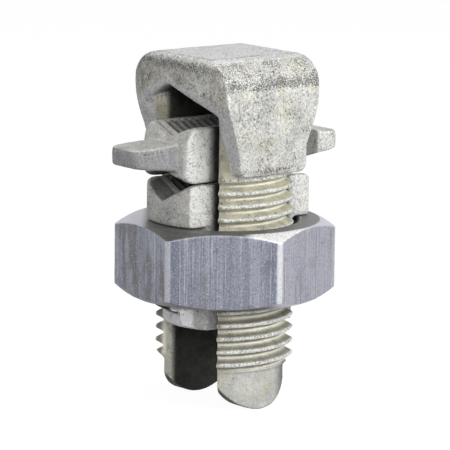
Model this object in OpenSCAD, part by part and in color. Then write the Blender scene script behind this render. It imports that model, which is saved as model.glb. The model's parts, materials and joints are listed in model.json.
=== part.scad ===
// Split-bolt connector with a spacer bar. A slotted bolt straddles two
// conductors. Its nut carries a pressure bar up the slot, and a loose spacer
// bar keeps the run conductor and the tap conductor apart.
// Z runs up the bolt's axis from the leg tips, and the conductors lie along Y.

/* [Bolt] */
// Height from the leg tips to the top of the head
bolt_h = 56.5; // [54:0.5:66]
// Outside diameter of the thread
thread_d = 22.4; // [21.5:0.1:23.5]
// Height of the first full thread above the leg tips
thread_start = 7.6; // [7:0.1:10]
// Diameter of the plain pilot below the thread
pilot_d = 19.5; // [17:0.1:20.5]
// Radius of the round end of each leg, seen across the slot
tip_r = 7.8; // [7.6:0.1:9.5]
// Width of the slot between the legs
slot_w = 12.3; // [10.5:0.1:13]
// Size of the 45 degree bevel on the slot's upright edges
slot_bevel = 1.9; // [1:0.1:2.3]
// Length that this bevel runs on outside the legs, before the mouth opens wider
mouth_lip = 0.3; // [0.2:0.1:1]
// Slope of the wide outer part of the slot's mouths, in degrees
mouth_slope = 22; // [15:1:40]

/* [Head] */
// Width across the cheeks at their widest
head_w = 25; // [24.5:0.5:29]
// Width of the flat top across the slot
top_w = 13.2; // [11:0.2:16]
// Depth of the head along the conductors at its widest
head_d = 19; // [18:0.2:22]
// Height of the head from its top to the lower edge of the cheeks
head_h = 18.3; // [15:0.1:20]
// Width across the cheeks at their lower edge
cheek_w = 23.6; // [22.8:0.1:24.4]
// Depth of the cheeks along the conductors at their lower edge
cheek_d = 13; // [11:0.2:14]
// Height over which the cheeks taper, from their lower edge
cheek_h = 7.4; // [4:0.1:8.4]
// Rounding of the cheeks' lower corners
cheek_round = 1.2; // [0.5:0.1:3]
// Rounding of the head's upright corners
head_round = 1.2; // [0.5:0.1:3]
// Height of the brow's upright ends, from the top of the head
brow_h = 4.5; // [3.5:0.1:6]
// Rounding along the end edges of the flat top
brow_round = 0.9; // [0.5:0.1:2]
// Thickness of the crown over the ridge of the slot's roof
crown_t = 4.9; // [4:0.1:7]
// Place of that ridge across the slot
ridge_x = -3.4; // [-4:0.1:4]
// Slope of the roof on the +X side of its ridge, in degrees
roof_slope = 18; // [10:1:24]
// Slope of the roof on the -X side of its ridge, in degrees
haunch_slope = 27; // [15:1:35]

/* [Nut] */
// Width of the nut across its flats
nut_af = 31; // [29:0.1:34]
// Height of the nut
nut_h = 12.2; // [9:0.1:14]
// Slope of the nut's corner bevels at their middle, in degrees
nut_bevel = 26; // [15:1:35]
// Step from each flat in to the round face at each end of the nut
nut_face = 0.3; // [0.1:0.05:0.8]
// Length worn off each upright corner of the nut, along its diagonal
nut_corner = 0.18; // [0.05:0.01:0.4]
// Depth of the countersink at each end of the nut's bore
countersink = 0.9; // [0.4:0.1:1.2]
// Turn of the nut from a corner on the X axis, in degrees
nut_turn = -8.6; // [-30:0.1:30]

/* [Pressure bar] */
// Length of the pressure bar between its round ends
bar_len = 26.8; // [24:0.2:30]
// Height of the pressure bar from the nut to its side lands
bar_h = 6.85; // [5.5:0.05:8]
// Rounding of the pressure bar's upper end edges
bar_crown = 2.8; // [1:0.1:3.5]
// Distance that the pressure bar sits off centre along the conductors
bar_offset = 0.6; // [-0.6:0.1:0.6]
// Rounding of the pressure bar's upright corners
bar_round = 3; // [1:0.1:4]
// Depth of the groove along the pressure bar
bar_groove = 2.3; // [1:0.1:2.6]
// Length at each end over which the groove dips away
bar_dip_len = 3.1; // [2:0.1:5]
// Slope of the dip at the groove's ends, in degrees
bar_dip = 10; // [5:1:14]
// Diameter over the round ends of the stem in the nut's bore
stem_d = 20.8; // [18:0.1:21.4]
// Length of stem that stands out below the nut
stem_out = 4.5; // [3:0.1:6]
// Diameter over the staked tabs that hold the nut
stake_d = 24.4; // [23.4:0.1:26]
// Thickness of the staked tabs
stake_t = 1.5; // [1:0.1:2]
// Width of each staked tab
stake_w = 8; // [5:0.1:9]

/* [Spacer bar] */
// Length of the spacer bar over its wings
spacer_len = 41.2; // [34:0.2:44]
// Length of the block between the wings
block_len = 25.4; // [22:0.2:27]
// Height of the block between its upper and lower lands
spacer_h = 8.9; // [8:0.1:10]
// Length of the block's flat top along the conductors
top_len = 20.4; // [16:0.2:21.6]
// Length of the block's flat underside along the conductors
under_len = 21; // [16:0.2:21.6]
// Height of the block's upper end edges above its lower lands
end_rise = 6; // [5:0.1:6.2]
// Height of the block's lower end edges above its lower lands
belly_rise = 1.1; // [0.5:0.1:1.8]
// Width of the wings
wing_w = 8; // [6:0.1:9]
// Thickness of the wings at their tips
wing_t = 3; // [1.8:0.1:3.4]
// Height of the wing tips' underside above the block's lower lands
wing_rise = 2.9; // [1.5:0.1:3.5]
// Slope of the wings' underside, in degrees
wing_slope = 7; // [0:1:10]
// Slope of the wings' top, in degrees
wing_taper = 3; // [0:1:6]
// Rounding of the wing tips' upright corners
wing_round = 2; // [1:0.1:3]
// Rounding of the block's upright corners
block_round = 1.6; // [0.5:0.1:2.5]
// Depth of the groove along the top of the spacer bar
top_groove = 2; // [1:0.1:3]
// Depth of the groove along the underside of the spacer bar
under_groove = 2; // [1:0.1:2.6]

/* [Serrations] */
// Distance between the teeth along the grooves
tooth_pitch = 1.4; // [1.2:0.1:2.4]
// Width of each notch between two teeth
notch_w = 1; // [0.6:0.1:1.1]
// Depth of the notches between the teeth
tooth_depth = 0.5; // [0.3:0.05:0.8]
// Width of the flat land on each side of a groove
land_w = 1.25; // [0.8:0.05:1.6]
// Length of flank left plain beside each land
tooth_inset = 0.3; // [0.1:0.05:0.8]
// Plain length kept at each end of a toothed groove
tooth_margin = 0.9; // [0.6:0.1:2]

/* [Fits] */
// Open height over the spacer bar's lands, before the nut is run up
run_gap = 2.9; // [2.8:0.1:5]
// Gap between a bar and each wall of the slot
slide_gap = 0.2; // [0.1:0.05:0.4]
// Radial gap between the nut's bore and the thread
thread_gap = 0.05; // [0.02:0.01:0.1]
// Least radial gap between the nut's bore and the stem through it
stem_gap = 0.3; // [0.1:0.05:0.8]
// Gap between the nut and the bar that rides on it
seat_gap = 0.05; // [0.02:0.01:0.1]
// Gap between the pressure bar's lands and the spacer bar on it
rest_gap = 0.2; // [0.05:0.05:0.4]
// Gap between the nut and the staked tabs below it
stake_gap = 0.2; // [0.05:0.05:0.4]

/* [Hidden] */
$fn = 96;
over = 1;
curve_steps = 10;
thread_r = max(thread_d / 2, stem_d / 2 + stem_gap);
pilot_r = pilot_d / 2;
slot_half = slot_w / 2;
thread_lead = thread_r - pilot_r;
lead_r = sqrt(thread_r * thread_r + pilot_r * pilot_r);
bar_half = slot_half - slide_gap;

bevel_x = slot_half + slot_bevel;
bevel_y = sqrt(thread_r * thread_r - bevel_x * bevel_x);
reach = max(head_d, stake_d, bar_len) / 2 + over;
flare_x = bevel_x + mouth_lip + (reach - bevel_y - mouth_lip) / tan(mouth_slope);

head_base = bolt_h - head_h;
shoulder_r = (head_w - top_w) / 2;
shoulder_z = bolt_h - shoulder_r;
roof_apex = bolt_h - crown_t;
function roof_z(x) =
    roof_apex - max(x - ridge_x, 0) * tan(roof_slope)
    - max(ridge_x - x, 0) * tan(haunch_slope);
shank_top = min(roof_z(-bevel_x), roof_z(bevel_x));

land_z = min(roof_z(-bar_half), roof_z(bar_half)) - run_gap;
spacer_base = land_z - spacer_h;
bar_land = spacer_base - rest_gap;
bar_base = bar_land - bar_h;
nut_top = bar_base - seat_gap;
nut_base = nut_top - nut_h;
bore_r = thread_r + thread_gap;
stem_base = nut_base - stem_out;
stem_top = bar_base + (bar_h - bar_groove) / 2;
stake_top = nut_base - stake_gap;

groove_half = bar_half - land_w;
notch_lift = 0.01;
end_share = 1.1;
bar_dip_start = bar_len / 2 - bar_dip_len;

// Arc of an outline about a centre, from one angle to another
function arc(centre, r, from, to) =
    [for (i = [0 : curve_steps])
        let (a = from + (to - from) * i / curve_steps)
        centre + r * [cos(a), sin(a)]];

// Share of a rise that starts and ends level
function ease(t) = t * t * (3 - 2 * t);

// Points of an outline's left half, from the points of its right half
function mirrored(points) =
    [for (i = [len(points) - 1 : -1 : 0]) [-points[i][0], points[i][1]]];

// Rectangle about the origin with round corners
module round_rect(w, d, r) {
    square([w - 2 * r, d], center = true);
    square([w, d - 2 * r], center = true);
    for (x = [-1, 1], y = [-1, 1])
        translate([x * (w / 2 - r), y * (d / 2 - r)])
            circle(r);
}

// An outline drawn in X and Z, run through along Y
module along_y(length)
    rotate([90, 0, 0])
        linear_extrude(length, center = true)
            children();

// An outline drawn in Y and Z, run through along X
module along_x(length)
    rotate([90, 0, 90])
        linear_extrude(length, center = true)
            children();

// A vee cut down into a bar from the level z = 0
module vee(length, depth)
    along_y(length)
        polygon([
            [-groove_half * (1 + over / depth), over],
            [0, -depth],
            [groove_half * (1 + over / depth), over]
        ]);

// Row of notches across both flanks of a vee whose lands are at z = 0
module vee_teeth(length, depth) {
    slope = atan(depth / groove_half);
    flank = groove_half / cos(slope);
    count = floor((length - 2 * tooth_margin) / tooth_pitch);
    for (i = [0 : count - 1], side = [0, 1])
        translate([0, (i - (count - 1) / 2) * tooth_pitch, -depth])
            mirror([side, 0, 0])
                rotate([0, -slope, 0])
                    rotate([90, 0, 90])
                        linear_extrude(flank - tooth_inset)
                            polygon([
                                [-notch_w / 2, notch_lift],
                                [0, -tooth_depth],
                                [notch_w / 2, notch_lift]
                            ]);
}

// Head seen along the conductors: flat top, round shoulders, tapered cheeks
module head_front() {
    for (x = [-1, 1])
        translate([x * top_w / 2, shoulder_z])
            circle(shoulder_r);
    translate([-top_w / 2, shoulder_z])
        square([top_w, shoulder_r]);
    waist_z = head_base + cheek_h;
    right = [[cheek_w / 2, head_base], [head_w / 2, waist_z], [head_w / 2, shoulder_z]];
    polygon(concat(right, mirrored(right)));
}

// Head seen across the slot: cheeks that sweep out to a heavier brow
module head_side() {
    foot_z = head_base + cheek_round;
    sweep = [for (i = [1 : curve_steps])
        let (t = i / curve_steps)
        [cheek_d / 2 + (head_d - cheek_d) / 2 * ease(t),
         foot_z + (bolt_h - brow_h - foot_z) * t]];
    right = concat(
        arc([cheek_d / 2 - cheek_round, foot_z], cheek_round, -90, 0),
        sweep,
        arc([head_d / 2 - brow_round, bolt_h - brow_round], brow_round, 0, 90));
    polygon(concat(right, mirrored(right)));
}

module head_block()
    intersection() {
        along_y(2 * reach)
            head_front();
        along_x(2 * reach)
            head_side();
        translate([0, 0, head_base])
            linear_extrude(head_h)
                round_rect(head_w, head_d, head_round);
    }

// Plain end of the legs, rounded like a tongue across the slot
module pilot()
    intersection() {
        cylinder(h = thread_start, r = pilot_r);
        along_x(2 * reach) {
            translate([0, tip_r])
                circle(tip_r);
            translate([-reach, tip_r])
                square([2 * reach, bolt_h]);
        }
    }

// Round blank that the thread is cut on, with a ball-shaped lead at its lower end
module thread_blank()
    intersection() {
        translate([0, 0, thread_start - thread_lead])
            cylinder(h = shank_top - thread_start + thread_lead, r = thread_r);
        translate([0, 0, thread_start + pilot_r]) {
            sphere(lead_r);
            cylinder(h = bolt_h, r = lead_r);
        }
    }

// Slot seen from below, with its upright edges bevelled at both mouths
module slot_plan() {
    lip_x = bevel_x + mouth_lip;
    lip_y = bevel_y + mouth_lip;
    right = [
        [flare_x, -reach],
        [lip_x, -lip_y],
        [slot_half, slot_bevel - bevel_y],
        [slot_half, bevel_y - slot_bevel],
        [lip_x, lip_y],
        [flare_x, reach]
    ];
    polygon(concat(right, mirrored(right)));
}

// Slot seen along the conductors, under its sloping roof
module slot_front()
    polygon([
        [flare_x, -over],
        [flare_x, roof_z(flare_x)],
        [ridge_x, roof_apex],
        [-flare_x, roof_z(-flare_x)],
        [-flare_x, -over]
    ]);

module slot()
    intersection() {
        translate([0, 0, -over])
            linear_extrude(bolt_h + over)
                slot_plan();
        along_y(2 * reach)
            slot_front();
    }

module split_bolt()
    color("#c9c7b8")
        difference() {
            union() {
                pilot();
                thread_blank();
                head_block();
            }
            slot();
        }

// Hexagonal bar, bevelled at both ends and bored for the thread
module hex_nut() {
    nut_r = nut_af / 2 / cos(30);
    face_r = nut_af / 2 - nut_face;
    ball_r = (nut_r + face_r) / 2 / sin(nut_bevel);
    ball_drop = sqrt(ball_r * ball_r - face_r * face_r);
    color("#8d909c")
        translate([0, 0, nut_base])
            difference() {
                intersection() {
                    rotate([0, 0, nut_turn])
                        cylinder(h = nut_h, r = nut_r, $fn = 6);
                    cylinder(h = nut_h, r = nut_r - nut_corner);
                    translate([0, 0, ball_drop])
                        sphere(ball_r);
                    translate([0, 0, nut_h - ball_drop])
                        sphere(ball_r);
                }
                translate([0, 0, -over])
                    cylinder(h = nut_h + 2 * over, r = bore_r);
                for (end = [0, 1])
                    translate([0, 0, end * nut_h])
                        mirror([0, 0, end])
                            translate([0, 0, -over])
                                cylinder(
                                    h = countersink + over,
                                    r1 = bore_r + countersink + over,
                                    r2 = bore_r);
            }
}

// Pad of the pressure bar seen across the slot, with rounded upper ends
module bar_side() {
    right = concat(
        [[bar_len / 2, bar_base]],
        arc([bar_len / 2 - bar_crown, bar_land - bar_crown], bar_crown, 0, 90));
    polygon(concat(right, mirrored(right)));
}

// Bar on the nut: grooved pad above, and a stem staked under the nut
module pressure_bar()
    color("#bfbdb0") translate([0, bar_offset, 0]) {
        difference() {
            intersection() {
                translate([0, 0, bar_base])
                    linear_extrude(bar_h)
                        intersection() {
                            round_rect(2 * bar_half, bar_len + over, bar_round);
                            circle(bar_len / 2);
                        }
                along_x(2 * bar_half)
                    bar_side();
            }
            translate([0, 0, bar_land]) {
                vee(bar_len + 2 * over, bar_groove);
                vee_teeth(2 * bar_dip_start, bar_groove);
                for (turn = [0, 180])
                    rotate([0, 0, turn])
                        translate([0, bar_dip_start, 0])
                            rotate([-bar_dip, 0, 0])
                                vee(4 * bar_dip_len, bar_groove);
            }
        }
        translate([0, 0, stem_base])
            linear_extrude(stem_top - stem_base)
                intersection() {
                    square([2 * bar_half, stem_d + over], center = true);
                    circle(stem_d / 2);
                }
        for (turn = [0, 180])
            rotate([0, 0, turn])
                translate([0, 0, stake_top - stake_t])
                    linear_extrude(stake_t)
                        intersection() {
                            translate([-bar_half, -stake_d / 2 - over])
                                square([stake_w, stake_d / 2 + over]);
                            circle(stake_d / 2);
                        }
    }

// Block of the spacer bar seen across the slot, with rounded ends
module block_side() {
    top_half = top_len / 2;
    under_half = under_len / 2;
    under = [for (i = [0 : curve_steps])
        let (t = end_share * i / curve_steps)
        [under_half + (block_len / 2 - under_half) * t, belly_rise * t * t]];
    back = [for (i = [curve_steps : -1 : 0])
        let (t = end_share * i / curve_steps)
        [top_half + (block_len / 2 - top_half) * t, spacer_h - (spacer_h - end_rise) * t * t]];
    right = concat(under, back);
    polygon(concat(right, mirrored(right)));
}

// Wings of the spacer bar seen across the slot
module wing_side() {
    tip = spacer_len / 2;
    wing_top = wing_rise + wing_t;
    right = [
        [0, wing_rise - tip * tan(wing_slope)],
        [tip, wing_rise],
        [tip, wing_top],
        [0, wing_top + tip * tan(wing_taper)]
    ];
    polygon(concat(right, mirrored(right)));
}

// Loose bar between the conductors, toothed above and below, with two wings
module spacer_bar()
    color("#b7b6ae")
        translate([0, 0, spacer_base])
            difference() {
                union() {
                    intersection() {
                        along_x(2 * bar_half)
                            block_side();
                        linear_extrude(spacer_h)
                            round_rect(2 * bar_half, block_len, block_round);
                    }
                    intersection() {
                        along_x(2 * bar_half)
                            wing_side();
                        linear_extrude(spacer_h)
                            round_rect(wing_w, spacer_len, wing_round);
                    }
                }
                translate([0, 0, spacer_h]) {
                    vee(spacer_len, top_groove);
                    vee_teeth(top_len, top_groove);
                }
                mirror([0, 0, 1]) {
                    vee(spacer_len, under_groove);
                    vee_teeth(under_len, under_groove);
                }
            }

split_bolt();
hex_nut();
pressure_bar();
spacer_bar();
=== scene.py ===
import functools
import json
import math

import bmesh
import bpy
import numpy as np
from mathutils import Matrix, Vector


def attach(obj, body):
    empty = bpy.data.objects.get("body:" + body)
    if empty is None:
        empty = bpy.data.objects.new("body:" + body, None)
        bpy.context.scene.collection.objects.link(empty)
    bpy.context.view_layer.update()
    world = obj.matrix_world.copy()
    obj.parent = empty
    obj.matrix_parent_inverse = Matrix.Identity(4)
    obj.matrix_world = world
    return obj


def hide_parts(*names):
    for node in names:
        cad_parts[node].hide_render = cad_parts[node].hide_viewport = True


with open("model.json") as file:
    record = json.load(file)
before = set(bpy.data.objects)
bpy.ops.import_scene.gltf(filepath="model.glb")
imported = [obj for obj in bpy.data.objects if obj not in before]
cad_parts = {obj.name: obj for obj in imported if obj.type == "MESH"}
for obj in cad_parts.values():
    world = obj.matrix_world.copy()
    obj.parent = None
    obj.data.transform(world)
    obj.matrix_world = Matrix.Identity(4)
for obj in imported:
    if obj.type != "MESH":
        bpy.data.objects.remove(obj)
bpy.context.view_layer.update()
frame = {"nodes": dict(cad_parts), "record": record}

# The split bolt is one casting in plated alloy: a square arched head over two legs. The legs' outside is
# turned and threaded after casting, which leaves it smooth and straw coloured beside the pale pitted head.
# The slot between the legs is painted dark as shade, where little light reaches.
MM = 0.001


def span(node, axis):
    """Lowest and highest place of a CAD node along an axis, in millimetres to a hundredth."""
    places = [round(corner["xyz".index(axis)] / MM, 2) for corner in frame["nodes"][node].bound_box]
    return min(places), max(places)


# Sizes in millimetres, with heights from the tips of the legs.
THREAD_PITCH = 2 * math.pi * frame["record"]["behaviour"]["couplings"][0]["ratio"] / MM
THREAD_CREST = 11.2
GROOVE_ROOT = 9.85
GROOVE_MOUTH = 11.45
GROOVE_WIDE = 1.86
GROOVE_NARROW = 0.3
GROOVE_FIRST = 4.774
GROOVE_TURNS = 15.35
STEPS_A_TURN = 72
LEG_PLAIN = 6.6
SLOT_HALF = 6.15
MOUTH_HALF = 8.3
MOUTH_TOP = 48.0
HEAD_TOP = max(span("split_bolt", "z"))
HEAD_BASE = HEAD_TOP - 18.3
CHEEK_CREASE = HEAD_TOP - 4.3
BROW = HEAD_TOP - 1.7
TOP_HALF_X = 6.9
TOP_HALF_Y = 8.5
ROOF_RIDGE_X = -3.4
ROOF_RIDGE_Z = HEAD_TOP - 4.9
ROOF_SLOPE_LEFT = math.tan(math.radians(27))
ROOF_SLOPE_RIGHT = math.tan(math.radians(18))
BOX_INSET = 0.002

# The level direction in which the connector's photographed side faces.
FRONT_X = 0.788
FRONT_Y = -0.616

STAIN_GREY = (0.13, 0.13, 0.125)
LILAC_GREY = (0.47, 0.465, 0.53)
PIT_BLACK = (0.06, 0.06, 0.062)
HOLE_BLACK = (0.05, 0.05, 0.052)
HOLLOW_BLACK = (0.05, 0.05, 0.05)
ROOT_PALE = (0.84, 0.82, 0.74)
TORN_GREY = (0.30, 0.29, 0.32)
TORN_BRIGHT = (0.93, 0.92, 0.95)
# Painted shade, with some grime, where the slot, the grooves and the gaps lie in shadow.
SOOT_BLACK = (0.007, 0.007, 0.007)
SOOT_BROWN = (0.027, 0.026, 0.020)


def merged_copy(node, name):
    """A new object with a CAD node's mesh, its loose triangles joined."""
    mesh = frame["nodes"][node].data.copy()
    mesh.name = name
    mesh.materials.clear()
    joined = bmesh.new()
    joined.from_mesh(mesh)
    bmesh.ops.remove_doubles(joined, verts=joined.verts, dist=0.001 * MM)
    joined.to_mesh(mesh)
    joined.free()
    piece = bpy.data.objects.new(name, mesh)
    bpy.context.scene.collection.objects.link(piece)
    return piece


def node_tree(name, inputs):
    """An empty Geometry Nodes tree with named inputs, given as name, kind and value."""
    tree = bpy.data.node_groups.new(name, "GeometryNodeTree")
    tree.interface.new_socket("Geometry", in_out="INPUT", socket_type="NodeSocketGeometry")
    for label, kind, value in inputs:
        socket = tree.interface.new_socket(label, in_out="INPUT", socket_type="NodeSocket" + kind)
        if value is not None:
            socket.default_value = value
    tree.interface.new_socket("Geometry", in_out="OUTPUT", socket_type="NodeSocketGeometry")
    return tree


def place(tree, kind, inputs=(), **settings):
    """Adds a node, sets its choices, and fills its inputs with values or with other nodes' outputs."""
    node = tree.nodes.new(kind)
    for key, value in settings.items():
        setattr(node, key, value)
    for key, value in dict(inputs).items():
        socket = node.inputs[key]
        if isinstance(value, bpy.types.NodeSocket):
            tree.links.new(value, socket)
        else:
            socket.default_value = value
    return node


def reckon(tree, operation, *values):
    """The result of one step of arithmetic on values or on other nodes' outputs."""
    return place(tree, "ShaderNodeMath", dict(enumerate(values)), operation=operation).outputs[0]


def close_tree(tree, geometry, finish):
    """Ends a tree, with its instances made real and its finish put on."""
    real = place(tree, "GeometryNodeRealizeInstances", {"Geometry": geometry}).outputs[0]
    coated = place(tree, "GeometryNodeSetMaterial", {"Geometry": real, "Material": finish}).outputs[0]
    place(tree, "NodeGroupOutput", {"Geometry": coated})
    return tree


def dress(piece, tree, **values):
    """Puts a tree on a piece as a modifier, with its named inputs set."""
    modifier = piece.modifiers.new(tree.name, "NODES")
    modifier.node_group = tree
    for socket in tree.interface.items_tree:
        label = socket.name.replace(" ", "_").lower()
        if socket.in_out == "INPUT" and label in values:
            modifier[socket.identifier] = values[label]


def settle(piece):
    """Turns a piece's modifiers into plain mesh."""
    bpy.context.view_layer.update()
    seen = piece.evaluated_get(bpy.context.evaluated_depsgraph_get())
    mesh = bpy.data.meshes.new_from_object(seen)
    old = piece.data
    piece.modifiers.clear()
    piece.data = mesh
    bpy.data.meshes.remove(old)
    mesh.name = piece.name
    mesh.shade_smooth()


def sweep_tree():
    """A trapezoid swept up a right-hand screw line, for a thread's groove or ridge."""
    tree = node_tree("thread sweep", [
        ("Turns", "Float", 1.0), ("Pitch", "Float", 2 * MM), ("Inner Radius", "Float", 10 * MM),
        ("Outer Radius", "Float", 11 * MM), ("Inner Width", "Float", MM), ("Outer Width", "Float", MM),
        ("First Height", "Float", 0.0), ("First Angle", "Float", 0.0), ("Finish", "Material", None)])
    given = place(tree, "NodeGroupInput").outputs
    rise = reckon(tree, "MULTIPLY", given["Turns"], given["Pitch"])
    both = reckon(tree, "ADD", given["Inner Radius"], given["Outer Radius"])
    middle = reckon(tree, "MULTIPLY", both, 0.5)
    depth = reckon(tree, "SUBTRACT", given["Outer Radius"], given["Inner Radius"])
    screw = place(tree, "GeometryNodeCurveSpiral", {
        "Resolution": STEPS_A_TURN, "Rotations": given["Turns"], "Start Radius": middle, "End Radius": middle,
        "Height": rise, "Reverse": True}).outputs[0]
    upright = place(tree, "GeometryNodeSetCurveNormal", {"Curve": screw}, mode="Z_UP").outputs[0]
    outline = place(tree, "GeometryNodeCurvePrimitiveQuadrilateral", {
        "Bottom Width": given["Outer Width"], "Top Width": given["Inner Width"], "Offset": 0.0,
        "Height": depth}, mode="TRAPEZOID").outputs[0]
    turned = place(tree, "GeometryNodeTransform", {
        "Geometry": outline, "Rotation": (0.0, 0.0, math.radians(90))}).outputs[0]
    swept = place(tree, "GeometryNodeCurveToMesh", {
        "Curve": upright, "Profile Curve": turned, "Fill Caps": True}).outputs[0]
    up = place(tree, "ShaderNodeCombineXYZ", {"Z": given["First Height"]}).outputs[0]
    about = place(tree, "ShaderNodeCombineXYZ", {"Z": given["First Angle"]}).outputs[0]
    lifted = place(tree, "GeometryNodeTransform", {
        "Geometry": swept, "Translation": up, "Rotation": about}).outputs[0]
    return close_tree(tree, lifted, given["Finish"])


thread_sweep = sweep_tree()


def screw_form(name, finish, **sizes):
    """A swept thread form as a closed plain mesh."""
    form = bpy.data.objects.new(name, bpy.data.meshes.new(name))
    bpy.context.scene.collection.objects.link(form)
    dress(form, thread_sweep, pitch=THREAD_PITCH * MM, finish=finish, **sizes)
    settle(form)
    outward = bmesh.new()
    outward.from_mesh(form.data)
    bmesh.ops.recalc_face_normals(outward, faces=outward.faces)
    outward.to_mesh(form.data)
    outward.free()
    return form


def combine(piece, tool, operation):
    """Joins a tool shape to a piece, or cuts it away, and removes the tool."""
    cut = piece.modifiers.new("combine", "BOOLEAN")
    cut.operation = operation
    cut.solver = "EXACT"
    cut.object = tool
    settle(piece)
    bpy.data.objects.remove(tool)


def shown(sockets, name):
    """The socket of a name that a node's data type leaves in use."""
    return next(socket for socket in sockets if socket.enabled and socket.name == name)


def averaged(tree, spot, rounds, weight=1.0):
    """Each point's place, averaged with its neighbours' so many times."""
    blur = place(tree, "GeometryNodeBlurAttribute", {"Iterations": rounds, "Weight": weight},
                 data_type="FLOAT_VECTOR")
    tree.links.new(spot, shown(blur.inputs, "Value"))
    return shown(blur.outputs, "Value")


def skin_tree():
    """A surface with rounded edges and dents, which keeps how far each point stands proud."""
    tree = node_tree("cast skin", [
        ("Lump Height", "Float", 0.1 * MM), ("Lump Size", "Float", 3 * MM),
        ("Grain Height", "Float", 0.03 * MM), ("Grain Size", "Float", MM), ("Dent Level", "Float", 0.62),
        ("Reach", "Int", 8), ("Rounding", "Int", 0), ("Finish", "Material", None)])
    given = place(tree, "NodeGroupInput").outputs
    spot = place(tree, "GeometryNodeInputPosition").outputs[0]
    facing = place(tree, "GeometryNodeInputNormal").outputs[0]
    chosen = place(tree, "GeometryNodeInputNamedAttribute", {"Name": "rounded"}, data_type="FLOAT").outputs
    worn = averaged(tree, spot, given["Rounding"], shown(chosen, "Attribute"))
    rounded = place(tree, "GeometryNodeSetPosition", {
        "Geometry": given["Geometry"], "Position": worn}).outputs[0]
    pushes = []
    for height, size in (("Lump Height", "Lump Size"), ("Grain Height", "Grain Size")):
        often = reckon(tree, "DIVIDE", 1.0, given[size])
        lumps = place(tree, "ShaderNodeTexNoise", {
            "Vector": spot, "Scale": often, "Detail": 3.0, "Roughness": 0.55}).outputs[0]
        level = reckon(tree, "SUBTRACT", lumps, given["Dent Level"])
        pushes.append(reckon(tree, "MULTIPLY", level, given[height]))
    dent = reckon(tree, "MINIMUM", reckon(tree, "ADD", *pushes), 0.0)
    moved = place(tree, "ShaderNodeVectorMath", {0: facing, "Scale": dent}, operation="SCALE").outputs[0]
    lumpy = place(tree, "GeometryNodeSetPosition", {"Geometry": rounded, "Offset": moved}).outputs[0]
    near = averaged(tree, spot, given["Reach"])
    apart = place(tree, "ShaderNodeVectorMath", {0: spot, 1: near}, operation="SUBTRACT").outputs[0]
    proud = place(tree, "ShaderNodeVectorMath", {0: apart, 1: facing}, operation="DOT_PRODUCT")
    in_mm = reckon(tree, "MULTIPLY", proud.outputs["Value"], 1 / MM)
    kept = place(tree, "GeometryNodeStoreNamedAttribute", {
        "Geometry": lumpy, "Name": "proud", "Value": in_mm}, data_type="FLOAT", domain="POINT").outputs[0]
    return close_tree(tree, kept, given["Finish"])


cast_skin = skin_tree()


def point_values(mesh, what):
    """Places or normals of a mesh's points, a row each."""
    values = np.zeros(len(mesh.vertices) * 3, np.float32)
    mesh.vertices.foreach_get(what, values)
    return values.reshape(-1, 3)


def paint(piece, **rules):
    """Keeps values from 0 to 1 at each point, by rules on its place in millimetres and its normal."""
    spots = point_values(piece.data, "co").T / MM
    facing = point_values(piece.data, "normal").T
    for name, rule in rules.items():
        value = np.clip(rule(*spots, *facing), 0, 1).astype(np.float32)
        piece.data.attributes.new(name, "FLOAT", "POINT").data.foreach_set("value", value)


def recast(piece, grid, smooth, finish, share, rounded, **skin):
    """Gives a piece an even fine mesh, rounded edges and a cast skin, thins it and keeps it in its box."""
    corners = np.array(piece.bound_box)
    even = piece.modifiers.new("even", "REMESH")
    even.mode = "VOXEL"
    even.voxel_size = grid
    soft = piece.modifiers.new("soft", "SMOOTH")
    soft.factor = 0.5
    soft.iterations = smooth
    settle(piece)
    paint(piece, rounded=rounded)
    dress(piece, cast_skin, finish=finish, **skin)
    settle(piece)
    thin = piece.modifiers.new("thin", "DECIMATE")
    thin.ratio = share
    settle(piece)
    low, high = corners.min(0) + BOX_INSET * MM, corners.max(0) - BOX_INSET * MM
    inside = np.clip(point_values(piece.data, "co"), low, high)
    piece.data.vertices.foreach_set("co", inside.astype(np.float32).ravel())
    piece.data.update()


def metal(name, metallic, rough):
    """A new material with its principled shader, and the tree that it stands in."""
    material = bpy.data.materials.new(name)
    material.use_nodes = True
    shader = material.node_tree.nodes["Principled BSDF"]
    shader.inputs["Metallic"].default_value = metallic
    shader.inputs["Roughness"].default_value = rough
    return material, material.node_tree, shader


def kept_value(tree, name):
    """A value kept at the piece's points."""
    return place(tree, "ShaderNodeAttribute", attribute_name=name).outputs["Fac"]


def ramp(tree, value, low, high):
    """A value that rises smoothly from 0 to 1 between two levels."""
    return place(tree, "ShaderNodeMapRange", {"Value": value, "From Min": low, "From Max": high},
                 interpolation_type="SMOOTHSTEP").outputs["Result"]


def noise(tree, spot, per_mm, detail, rough=0.55):
    """Fractal noise with so many lumps to a millimetre."""
    return place(tree, "ShaderNodeTexNoise", {
        "Vector": spot, "Scale": per_mm / MM, "Detail": detail, "Roughness": rough}).outputs["Fac"]


def patches(tree, spot, per_mm, detail, low, high, rough=0.55):
    """Soft-edged patches, 0 where fractal noise is at its low level and 1 at its high one."""
    return ramp(tree, noise(tree, spot, per_mm, detail, rough), low, high)


def times(tree, one, other):
    """Product of two values."""
    return reckon(tree, "MULTIPLY", one, other)


def lay(tree, under, over, share, strength=None):
    """One colour laid over another by a share, and at a strength where one is given."""
    if strength is not None:
        share = times(tree, share, strength)
    mixed = place(tree, "ShaderNodeMix", data_type="RGBA")
    tree.links.new(share, shown(mixed.inputs, "Factor"))
    for name, colour in (("A", under), ("B", over)):
        if isinstance(colour, bpy.types.NodeSocket):
            tree.links.new(colour, shown(mixed.inputs, name))
        else:
            shown(mixed.inputs, name).default_value = (*colour, 1.0)
    return shown(mixed.outputs, "Result")


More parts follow.
